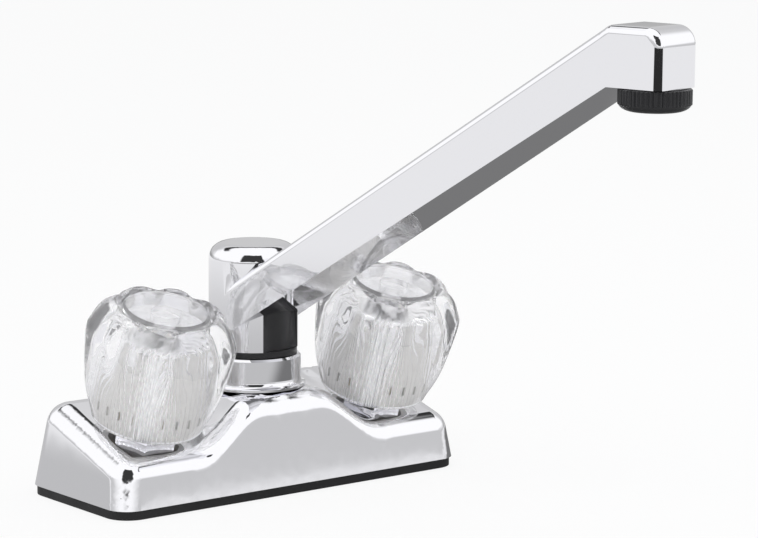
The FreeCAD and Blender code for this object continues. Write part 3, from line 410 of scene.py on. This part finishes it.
def rib_ring_tree(material):
    """Upright ribs round a circle, as on a grip band."""
    tree, start, end = new_tree("grip_ribs", [
        ("Ribs", "NodeSocketInt", 60), ("Radius", "NodeSocketFloat", 0.012),
        ("Width", "NodeSocketFloat", 0.0006), ("Height", "NodeSocketFloat", 0.0003),
        ("Length", "NodeSocketFloat", 0.005)])
    circle = tree.nodes.new("GeometryNodeMeshCircle")
    tree.links.new(start.outputs["Ribs"], circle.inputs["Vertices"])
    tree.links.new(start.outputs["Radius"], circle.inputs["Radius"])
    rib = tree.nodes.new("GeometryNodeMeshCylinder")
    rib.inputs["Vertices"].default_value = 10
    tree.links.new(math_node(tree, "MULTIPLY", start.outputs["Width"], 0.5), rib.inputs["Radius"])
    tree.links.new(start.outputs["Length"], rib.inputs["Depth"])
    squeeze = tree.nodes.new("ShaderNodeCombineXYZ")
    ratio = math_node(tree, "DIVIDE", start.outputs["Height"], start.outputs["Width"])
    tree.links.new(math_node(tree, "MULTIPLY", ratio, 2.0), squeeze.inputs["X"])
    squeeze.inputs["Y"].default_value = 1.0
    squeeze.inputs["Z"].default_value = 1.0
    index = tree.nodes.new("GeometryNodeInputIndex")
    turn = math_node(tree, "MULTIPLY", index.outputs["Index"],
                     math_node(tree, "DIVIDE", tau, start.outputs["Ribs"]))
    spin = tree.nodes.new("ShaderNodeCombineXYZ")
    tree.links.new(turn, spin.inputs["Z"])
    place = tree.nodes.new("GeometryNodeInstanceOnPoints")
    tree.links.new(circle.outputs["Mesh"], place.inputs["Points"])
    tree.links.new(rib.outputs["Mesh"], place.inputs["Instance"])
    tree.links.new(spin.outputs["Vector"], place.inputs["Rotation"])
    tree.links.new(squeeze.outputs["Vector"], place.inputs["Scale"])
    close_tree(tree, end, place.outputs["Instances"], material)
    return tree


def thread_tree(material):
    """A helical thread ridge swept along a spiral."""
    tree, start, end = new_tree("pipe_thread", [
        ("Turns", "NodeSocketFloat", 20.0), ("Radius", "NodeSocketFloat", 0.0103),
        ("Length", "NodeSocketFloat", 0.04), ("Ridge", "NodeSocketFloat", 0.0009)])
    spiral = tree.nodes.new("GeometryNodeCurveSpiral")
    spiral.inputs["Resolution"].default_value = 40
    tree.links.new(start.outputs["Turns"], spiral.inputs["Rotations"])
    tree.links.new(start.outputs["Radius"], spiral.inputs["Start Radius"])
    tree.links.new(start.outputs["Radius"], spiral.inputs["End Radius"])
    tree.links.new(start.outputs["Length"], spiral.inputs["Height"])
    ridge = tree.nodes.new("GeometryNodeCurvePrimitiveCircle")
    ridge.inputs["Resolution"].default_value = 4
    tree.links.new(start.outputs["Ridge"], ridge.inputs["Radius"])
    sweep = tree.nodes.new("GeometryNodeCurveToMesh")
    sweep.inputs["Fill Caps"].default_value = True
    tree.links.new(spiral.outputs["Curve"], sweep.inputs["Curve"])
    tree.links.new(ridge.outputs["Curve"], sweep.inputs["Profile Curve"])
    close_tree(tree, end, sweep.outputs["Mesh"], material)
    return tree


# The clear knob, worked out from one profile (heights in millimetres from the foot of its axis)

KNOB_FOOT = 4.4
KNOB_FOOT_RADIUS = 20.0
KNOB_WIDEST = 26.6
KNOB_WIDEST_HEIGHT = 34.6
KNOB_RIM_RADIUS = 18.0
KNOB_RIM_HEIGHT = 48.0
KNOB_SEAT_HEIGHT = 45.4
KNOB_SEAT_RADIUS = 16.0
KNOB_WELL_RADIUS = 5.6
CORE_TOP_RADIUS = 13.7
CORE_FOOT_RADIUS = 15.3
CORE_GAP = 0.1
CAVITY_TOP = 37.0
FLUTE_START = 12.0
FLUTE_FULL = 5.0
RIB_STEPS = 8
SEGMENTS_PER_RIB = 6


def blend_points(points, steps):
    """A smooth line through (radius, height) points."""
    line = []
    padded = [points[0]] + list(points) + [points[-1]]
    for index in range(1, len(padded) - 2):
        before, start, end, after = padded[index - 1:index + 3]
        for step in range(steps):
            t = step / steps
            spot = []
            for axis in (0, 1):
                a, b, c, d = before[axis], start[axis], end[axis], after[axis]
                spot.append(0.5 * (2 * b + (c - a) * t + (2 * a - 5 * b + 4 * c - d) * t * t
                                   + (3 * b - a - 3 * c + d) * t ** 3))
            line.append(tuple(spot))
    line.append(tuple(points[-1]))
    return line


def flute_share(height):
    """How deep the flutes are at one height, from none at the foot to full at the shoulder."""
    low = KNOB_FOOT + FLUTE_START
    share = min(max((height - low) / (KNOB_RIM_HEIGHT - FLUTE_FULL - low), 0.0), 1.0)
    return share * share * (3 - 2 * share)


def knob_rows(settings):
    """Rows of the knob's closed profile: (radius, height, flute depth, rib depth)."""
    depth = settings.flute_depth / MM
    outside = blend_points([
        (KNOB_FOOT_RADIUS - 1.2, KNOB_FOOT), (KNOB_FOOT_RADIUS - 0.2, KNOB_FOOT + 0.5),
        (KNOB_FOOT_RADIUS + 0.3, KNOB_FOOT + 2.0), (0.905 * KNOB_WIDEST, 0.5 * KNOB_WIDEST_HEIGHT),
        (KNOB_WIDEST, KNOB_WIDEST_HEIGHT), (KNOB_WIDEST - 0.9, KNOB_WIDEST_HEIGHT + 5.2),
        (KNOB_RIM_RADIUS + 5.2, KNOB_RIM_HEIGHT - 3.4), (KNOB_RIM_RADIUS + 2.2, KNOB_RIM_HEIGHT - 0.7),
        (KNOB_RIM_RADIUS, KNOB_RIM_HEIGHT), (KNOB_SEAT_RADIUS + 0.9, KNOB_SEAT_HEIGHT + 1.0),
        (KNOB_SEAT_RADIUS, KNOB_SEAT_HEIGHT)], 7)
    rows = []
    for radius, height in outside:
        inward = min(max((radius - KNOB_SEAT_RADIUS) / 5.0, 0.0), 1.0)
        rows.append((radius, height, depth * flute_share(height) * inward, 0.0))
    rows.append((KNOB_WELL_RADIUS, KNOB_SEAT_HEIGHT, 0.0, 0.0))
    rows.append((KNOB_WELL_RADIUS, CAVITY_TOP, 0.0, 0.0))
    ribs = settings.rib_depth / MM
    rows.append((CORE_TOP_RADIUS - 1.6, CAVITY_TOP - 0.5, 0.0, 0.0))
    for step in range(RIB_STEPS + 1):
        share = step / RIB_STEPS
        radius = CORE_TOP_RADIUS - 0.4 + share * (CORE_FOOT_RADIUS + CORE_GAP + 0.4 - CORE_TOP_RADIUS)
        height = CAVITY_TOP - 1.6 + share * (KNOB_FOOT - CAVITY_TOP + 1.6)
        rows.append((radius, height, 0.0, ribs))
    return rows


def knob_mesh(name, settings):
    """The lobed clear body as one closed mesh about Z."""
    rows = knob_rows(settings)
    segments = settings.ribs * SEGMENTS_PER_RIB
    work = bmesh.new()
    rings = []
    for radius, height, flute, rib in rows:
        ring = []
        for index in range(segments):
            angle = tau * index / segments
            dip = 0.5 - 0.5 * cos(settings.lobes * angle)
            ridge = 0.5 + 0.5 * cos(settings.ribs * angle)
            reach = radius - flute * dip ** 3 + rib * ridge
            above = max(height - KNOB_WIDEST_HEIGHT, 0.0)
            sink = 0.45 * flute * dip * above / (KNOB_RIM_HEIGHT - KNOB_WIDEST_HEIGHT)
            ring.append(work.verts.new((reach * cos(angle) * MM, reach * sin(angle) * MM,
                                        (height - sink) * MM)))
        rings.append(ring)
    for row in range(len(rings)):
        near, far = rings[row], rings[(row + 1) % len(rings)]
        for index in range(segments):
            after = (index + 1) % segments
            work.faces.new((near[index], near[after], far[after], far[index]))
    bmesh.ops.recalc_face_normals(work, faces=work.faces)
    mesh = bpy.data.meshes.new(name)
    work.to_mesh(mesh)
    work.free()
    return mesh


def handle_place(side):
    """Where a knob's foot and axis stand in the row's frame."""
    joint = HANDLE_JOINT[side]
    turn = Vector((0, 0, 1)).rotation_difference(Vector(joint["axis"]))
    return Matrix.Translation(Vector(joint["pos_m"])) @ turn.to_matrix().to_4x4()


# Operators

SHANK_RADIUS = 10.3 * MM
THREAD_MARGIN = 1.5 * MM
THREAD_SUNK_SHARE = 0.75
GRIP_BAND = 4.6 * MM
GRIP_MARGIN = 0.5 * MM


class FAUCET_OT_base(bpy.types.Operator):
    """Dresses the cover, its gasket and the collar"""
    bl_idname = "faucet.base"
    bl_label = "Base cover, gasket and collar"

    def execute(self, context):
        dressed_copy("base_cover", "deck_cover", "chrome_plate", 24.0)
        dressed_copy("base_gasket", "deck_gasket", "gasket_rubber")
        dressed_copy("spout_nut", "spout_collar", "chrome_plate", 30.0)
        return {"FINISHED"}


class FAUCET_OT_waterway(bpy.types.Operator):
    """Dresses the hidden waterway, cuts its pipe threads and adds the mounting nuts"""
    bl_idname = "faucet.waterway"
    bl_label = "Waterway and mounting nuts"

    def execute(self, context):
        settings = context.scene.faucet_thread
        dressed_copy("waterway_body", "waterway_moulding", "grey_acetal")
        dressed_copy("mounting_nuts", "winged_nuts", "grey_acetal")
        tree = thread_tree(finish_named("grey_acetal"))
        length = -SHANK_LOW.z - 2 * THREAD_MARGIN
        for side in SIDES:
            x = HANDLE_JOINT[side]["pos_m"][0]
            values = {"Turns": length / settings.pitch, "Length": length, "Ridge": settings.depth,
                      "Radius": SHANK_RADIUS - settings.depth * THREAD_SUNK_SHARE}
            thread = grown(side + "_shank_thread", tree, values,
                           Matrix.Translation((x, 0, SHANK_LOW.z + THREAD_MARGIN)))
            settle(thread, "base", [])
        return {"FINISHED"}


class FAUCET_OT_spout(bpy.types.Operator):
    """Dresses the spout shell, the black hub insert and what is inside"""
    bl_idname = "faucet.spout"
    bl_label = "Spout"

    def execute(self, context):
        dressed_copy("spout_shell", "spout_casing", "chrome_plate", 24.0)
        dressed_copy("hub_insert", "hub_plug", "black_plastic")
        dressed_copy("thrust_ring", "spout_ring", "grey_acetal")
        dressed_copy("oring_upper", "upper_seal", "seal_rubber")
        dressed_copy("oring_lower", "lower_seal", "seal_rubber")
        dressed_copy("spout_tube", "water_tube", "bright_brass")
        # Painted shade: the outlet fitting is brass, but it gets the black plastic finish to stand in for the
        # shadow in the gap between the head and the aerator.
        dressed_copy("outlet_nipple", "outlet_fitting_painted_shade", "black_plastic")
        return {"FINISHED"}


class FAUCET_OT_aerator(bpy.types.Operator):
    """Dresses the aerator and grows its grip ribs"""
    bl_idname = "faucet.aerator"
    bl_label = "Aerator"

    def execute(self, context):
        settings = context.scene.faucet_aerator
        dressed_copy("aerator_housing", "aerator_cap", "black_plastic")
        dressed_copy("aerator_screen", "aerator_mesh_disc", "stainless_steel")
        dressed_copy("aerator_washer", "aerator_seal", "seal_rubber")
        centre = (AERATOR_LOW + AERATOR_HIGH) / 2
        radius = (AERATOR_HIGH.x - AERATOR_LOW.x) / 2
        values = {"Ribs": settings.ribs, "Radius": radius - settings.rib_height, "Length": GRIP_BAND,
                  "Width": settings.rib_width, "Height": settings.rib_height}
        place = Matrix.Translation((centre.x, centre.y, AERATOR_HIGH.z - GRIP_MARGIN - GRIP_BAND / 2))
        ribs = grown("aerator_grip_ribs", rib_ring_tree(finish_named("black_plastic")), values, place)
        settle(ribs, "spout", [])
        return {"FINISHED"}


class FAUCET_OT_knobs(bpy.types.Operator):
    """Makes the clear lobed knobs with their pale cores and buttons"""
    bl_idname = "faucet.knobs"
    bl_label = "Clear knobs"

    def execute(self, context):
        settings = context.scene.faucet_knob
        for side in SIDES:
            mesh = knob_mesh(side + "_clear_knob", settings)
            mesh.transform(handle_place(side))
            mesh.materials.append(finish_named("clear_acrylic"))
            smooth_by_angle(mesh, radians(50.0))
            knob = link_object(side + "_clear_knob", mesh)
            settle(knob, side + "_handle", [side + "_knob"])
            dressed_copy(side + "_index_button", side + "_button", "clear_acrylic", 40.0)
            dressed_copy(side + "_knob_insert", side + "_core", "cream_plastic")
            dressed_copy(side + "_knob_screw", side + "_screw", "stainless_steel")
        return {"FINISHED"}


class FAUCET_OT_valves(bpy.types.Operator):
    """Dresses the valve stems, bonnets, cartridges, seats and springs"""
    bl_idname = "faucet.valves"
    bl_label = "Valves"

    def execute(self, context):
        finishes = {"stem": "bright_brass", "bonnet_nut": "chrome_plate", "cartridge": "grey_acetal",
                    "seat": "seal_rubber", "seat_spring": "stainless_steel"}
        for side in SIDES:
            for part, slot in finishes.items():
                dressed_copy(side + "_" + part, side + "_valve_" + part, slot)
        return {"FINISHED"}


class FAUCET_OT_stage(bpy.types.Operator):
    """Lays the white floor, sets the studio light and aims the camera"""
    bl_idname = "faucet.stage"
    bl_label = "Stage"

    def execute(self, context):
        settings = context.scene.faucet_stage
        make_floor()
        make_world(settings)
        make_lamps(settings)
        make_camera(settings)
        context.scene.view_settings.view_transform = "Standard"
        return {"FINISHED"}


# Stage

FLOOR_SIZE = 3.0
FLOOR_DROP = 0.0002
FLOOR_LIFT = 0.86
# The floor's painted reflection, seen only by the chrome: painted shade round SHADE_CENTRE, rising toward white
# farther out, and black far toward the viewer.
SHADE_CENTRE = (0.13, -0.05, 0.0)
SHADE_REACH = (0.13, 0.24)
SHADE_LEVELS = (0.20, 0.58)
FLOOR_RISE = 0.34
FLOOR_RISE_REACH = (0.25, 0.60)
FAR_FLOOR_REACH = (0.85, 1.0)
FAR_GAP_FACING = (0.50, 0.60)
FRONT_GAP_FACING = (0.86, 0.90)
FRONT_GAP_BAND = (0.48, 0.31, 0.02)
HIGH_GAP_FACING = (-0.5, -0.2)
HIGH_GAP_BAND = (0.74, 0.03, 0.05)
REAR_FACING = (-0.8, -0.5)
REAR_HEIGHT = (0.5, 0.9)
REAR_DIMMING = 0.45
ROOM_LOW_LEVEL = 0.64
ROOM_RISE = 0.50
ROOM_RISE_HEIGHT = (0.02, 0.16)
GAP_DARKNESS = 0.96
FAR_GAP_DARKNESS = 0.97
CAMERA_PLACE = (-0.66039, -0.90153, 0.25918)
CAMERA_AZIMUTH = -38.559
CAMERA_ELEVATION = 9.197
CAMERA_ROLL = 0.373


def times(tree, first, second):
    return math_node(tree, "MULTIPLY", first, second)


def rest_of(tree, value):
    """What is left of one."""
    return math_node(tree, "SUBTRACT", 1.0, value)


def eased(tree, value, low, high, start=0.0, end=1.0):
    """Runs softly from one level to another as a value goes from low to high."""
    fade = node(tree, "ShaderNodeMapRange", interpolation_type="SMOOTHSTEP")
    fade.inputs["From Min"].default_value = low
    fade.inputs["From Max"].default_value = high
    fade.inputs["To Min"].default_value = start
    fade.inputs["To Max"].default_value = end
    tree.links.new(value, fade.inputs["Value"])
    return fade.outputs["Result"]


def vector_node(tree, operation, vector, other=None):
    """One step on a direction or place."""
    made = node(tree, "ShaderNodeVectorMath", operation=operation)
    tree.links.new(vector, made.inputs[0])
    if other is not None:
        made.inputs[1].default_value = other
    return made.outputs


def band(tree, value, centre, half, soft):
    """One inside a band of values and nought outside, with soft edges."""
    away = math_node(tree, "ABSOLUTE", math_node(tree, "SUBTRACT", value, centre), 0.0)
    return eased(tree, away, half, half + soft, 1.0, 0.0)


def heading(tree, direction):
    """How far a level direction points toward the viewer's side, from minus one to one."""
    level = vector_node(tree, "MULTIPLY", direction, (1.0, 1.0, 0.0))["Vector"]
    unit = vector_node(tree, "NORMALIZE", level)["Vector"]
    azimuth = radians(CAMERA_AZIMUTH)
    return vector_node(tree, "DOT_PRODUCT", unit, (sin(azimuth), -cos(azimuth), 0.0))["Value"]


def mixed(tree, share, first, second):
    """Two shaders mixed by a share."""
    mix = node(tree, "ShaderNodeMixShader")
    tree.links.new(share, mix.inputs["Fac"])
    tree.links.new(first, mix.inputs[1])
    tree.links.new(second, mix.inputs[2])
    return mix.outputs[0]


def make_floor():
    """A wide white floor that glows with a painted reflection for the chrome: painted shade under the object and
    black far toward the viewer.
    """
    work = bmesh.new()
    bmesh.ops.create_grid(work, x_segments=2, y_segments=2, size=FLOOR_SIZE)
    mesh = bpy.data.meshes.new("floor")
    work.to_mesh(mesh)
    work.free()
    mesh.transform(Matrix.Translation((0, 0, -FLOOR_DROP)))
    floor = link_object("floor", mesh)
    material, tree, shader = new_material("white_floor")
    shader.inputs["Base Color"].default_value = (0.86, 0.86, 0.86, 1.0)
    shader.inputs["Roughness"].default_value = 0.9
    shader.inputs["Specular IOR Level"].default_value = 0.0
    place = node(tree, "ShaderNodeTexCoord").outputs["Object"]
    shade = vector_node(tree, "DISTANCE", place, SHADE_CENTRE)["Value"]
    distance = vector_node(tree, "LENGTH", place)["Value"]
    toward = eased(tree, heading(tree, place), *FAR_GAP_FACING)
    far = eased(tree, distance, *FAR_FLOOR_REACH)
    lit = rest_of(tree, times(tree, times(tree, toward, far), FAR_GAP_DARKNESS))
    rise = times(tree, eased(tree, distance, *FLOOR_RISE_REACH), FLOOR_RISE)
    level = math_node(tree, "ADD", eased(tree, shade, *SHADE_REACH, *SHADE_LEVELS), rise)
    # Painted reflection: glossy rays see this emission on the floor, with painted shade near the object and black
    # far toward the viewer. It is no lamp's light.
    painted_reflection = node(tree, "ShaderNodeEmission")
    tree.links.new(times(tree, level, lit), painted_reflection.inputs["Color"])
    white = node(tree, "ShaderNodeEmission")
    white.inputs["Strength"].default_value = 1.0
    path = node(tree, "ShaderNodeLightPath").outputs
    mirrored = mixed(tree, path["Is Glossy Ray"], shader.outputs["BSDF"], painted_reflection.outputs["Emission"])
    through = math_node(tree, "GREATER_THAN", path["Transmission Depth"], 0.5)
    share = math_node(tree, "MAXIMUM", times(tree, path["Is Camera Ray"], FLOOR_LIFT), through)
    output = next(n for n in tree.nodes if n.type == "OUTPUT_MATERIAL")
    tree.links.new(mixed(tree, share, mirrored, white.outputs["Emission"]), output.inputs["Surface"])
    mesh.materials.append(material)


def make_world(settings):
    """A bright room with dark gaps between its light panels, which the chrome shows as lines."""
    world = bpy.data.worlds.new("studio")
    bpy.context.scene.world = world
    world.use_nodes = True
    tree = world.node_tree
    tree.nodes.clear()
    place = node(tree, "ShaderNodeTexCoord").outputs["Generated"]
    parts = node(tree, "ShaderNodeSeparateXYZ")
    tree.links.new(place, parts.inputs[0])
    height = parts.outputs["Z"]
    facing = heading(tree, place)
    behind = rest_of(tree, eased(tree, facing, *HIGH_GAP_FACING))
    high_gap = times(tree, band(tree, height, *HIGH_GAP_BAND), behind)
    front_gap = times(tree, eased(tree, facing, *FRONT_GAP_FACING), band(tree, height, *FRONT_GAP_BAND))
    darker = math_node(tree, "MAXIMUM", high_gap, front_gap)
    keep = rest_of(tree, times(tree, darker, GAP_DARKNESS))
    rise = times(tree, eased(tree, height, *ROOM_RISE_HEIGHT), ROOM_RISE)
    bright = math_node(tree, "ADD", rise, ROOM_LOW_LEVEL)
    rear = rest_of(tree, eased(tree, facing, *REAR_FACING))
    low = rest_of(tree, eased(tree, height, *REAR_HEIGHT))
    dim = rest_of(tree, times(tree, REAR_DIMMING, times(tree, rear, low)))
    mirror = node(tree, "ShaderNodeBackground")
    tree.links.new(times(tree, times(tree, bright, dim), keep), mirror.inputs["Color"])
    even = node(tree, "ShaderNodeBackground")
    even.inputs["Color"].default_value = (0.97, 0.98, 1.0, 1.0)
    even.inputs["Strength"].default_value = settings.world_strength
    white = node(tree, "ShaderNodeBackground")
    white.inputs["Color"].default_value = (1.0, 1.0, 1.0, 1.0)
    path = node(tree, "ShaderNodeLightPath").outputs
    lighting = mixed(tree, path["Is Glossy Ray"], even.outputs[0], mirror.outputs[0])
    through = math_node(tree, "GREATER_THAN", path["Transmission Depth"], 0.5)
    share = math_node(tree, "MAXIMUM", path["Is Camera Ray"], through)
    output = node(tree, "ShaderNodeOutputWorld")
    tree.links.new(mixed(tree, share, lighting, white.outputs[0]), output.inputs["Surface"])


def make_lamps(settings):
    """One large soft lamp at the front left and a weak one at the right, which chrome doesn't mirror."""
    for name, place, size, power in (("key", (-0.9, -0.9, 1.3), 0.9, settings.lamp_power),
                                     ("fill", (1.2, -0.5, 0.9), 0.8, settings.lamp_power * 0.4)):
        lamp = bpy.data.lights.new(name, "AREA")
        lamp.size = size
        lamp.energy = power
        made = bpy.data.objects.new(name, lamp)
        bpy.context.scene.collection.objects.link(made)
        made.location = place
        made.rotation_euler = (Vector((0, 0, 0.06)) - Vector(place)).to_track_quat("-Z", "Y").to_euler()
        made.visible_glossy = False


def make_camera(settings):
    """The camera, at the left front and a little above."""
    camera = bpy.data.cameras.new("camera")
    camera.lens = settings.lens
    camera.sensor_width = 36.0
    made = bpy.data.objects.new("camera", camera)
    bpy.context.scene.collection.objects.link(made)
    made.location = CAMERA_PLACE
    azimuth, elevation = radians(CAMERA_AZIMUTH), radians(CAMERA_ELEVATION)
    back = Vector((sin(azimuth) * cos(elevation), -cos(azimuth) * cos(elevation), sin(elevation)))
    made.rotation_mode = "QUATERNION"
    level = (-back).to_track_quat("-Z", "Y")
    made.rotation_quaternion = Quaternion(back, radians(CAMERA_ROLL)) @ level
    camera.clip_start = 0.05
    camera.clip_end = 20.0
    bpy.context.scene.camera = made


OPERATORS = (FAUCET_OT_base, FAUCET_OT_waterway, FAUCET_OT_spout, FAUCET_OT_aerator, FAUCET_OT_knobs,
             FAUCET_OT_valves, FAUCET_OT_stage)


class FAUCET_PT_panel(bpy.types.Panel):
    """Lists the faucet's sizes, finishes and steps"""
    bl_idname = "FAUCET_PT_panel"
    bl_label = "Faucet"
    bl_space_type = "VIEW_3D"
    bl_region_type = "UI"
    bl_category = "Faucet"

    def draw(self, context):
        for operator in OPERATORS:
            self.layout.operator(operator.bl_idname)
        for name in SETTINGS:
            group = getattr(context.scene, name)
            box = self.layout.box()
            for key in group.__annotations__:
                box.prop(group, key)


CLASSES = tuple(SETTINGS.values()) + OPERATORS + (FAUCET_PT_panel,)


def register():
    for item in CLASSES:
        bpy.utils.register_class(item)
    for name, group in SETTINGS.items():
        setattr(bpy.types.Scene, name, bpy.props.PointerProperty(type=group))


def unregister():
    for name in SETTINGS:
        delattr(bpy.types.Scene, name)
    for item in reversed(CLASSES):
        bpy.utils.unregister_class(item)


def main():
    register()
    bpy.ops.faucet.base()
    bpy.ops.faucet.waterway()
    bpy.ops.faucet.spout()
    bpy.ops.faucet.aerator()
    bpy.ops.faucet.knobs()
    bpy.ops.faucet.valves()
    bpy.ops.faucet.stage()


if __name__ == "__main__":
    main()
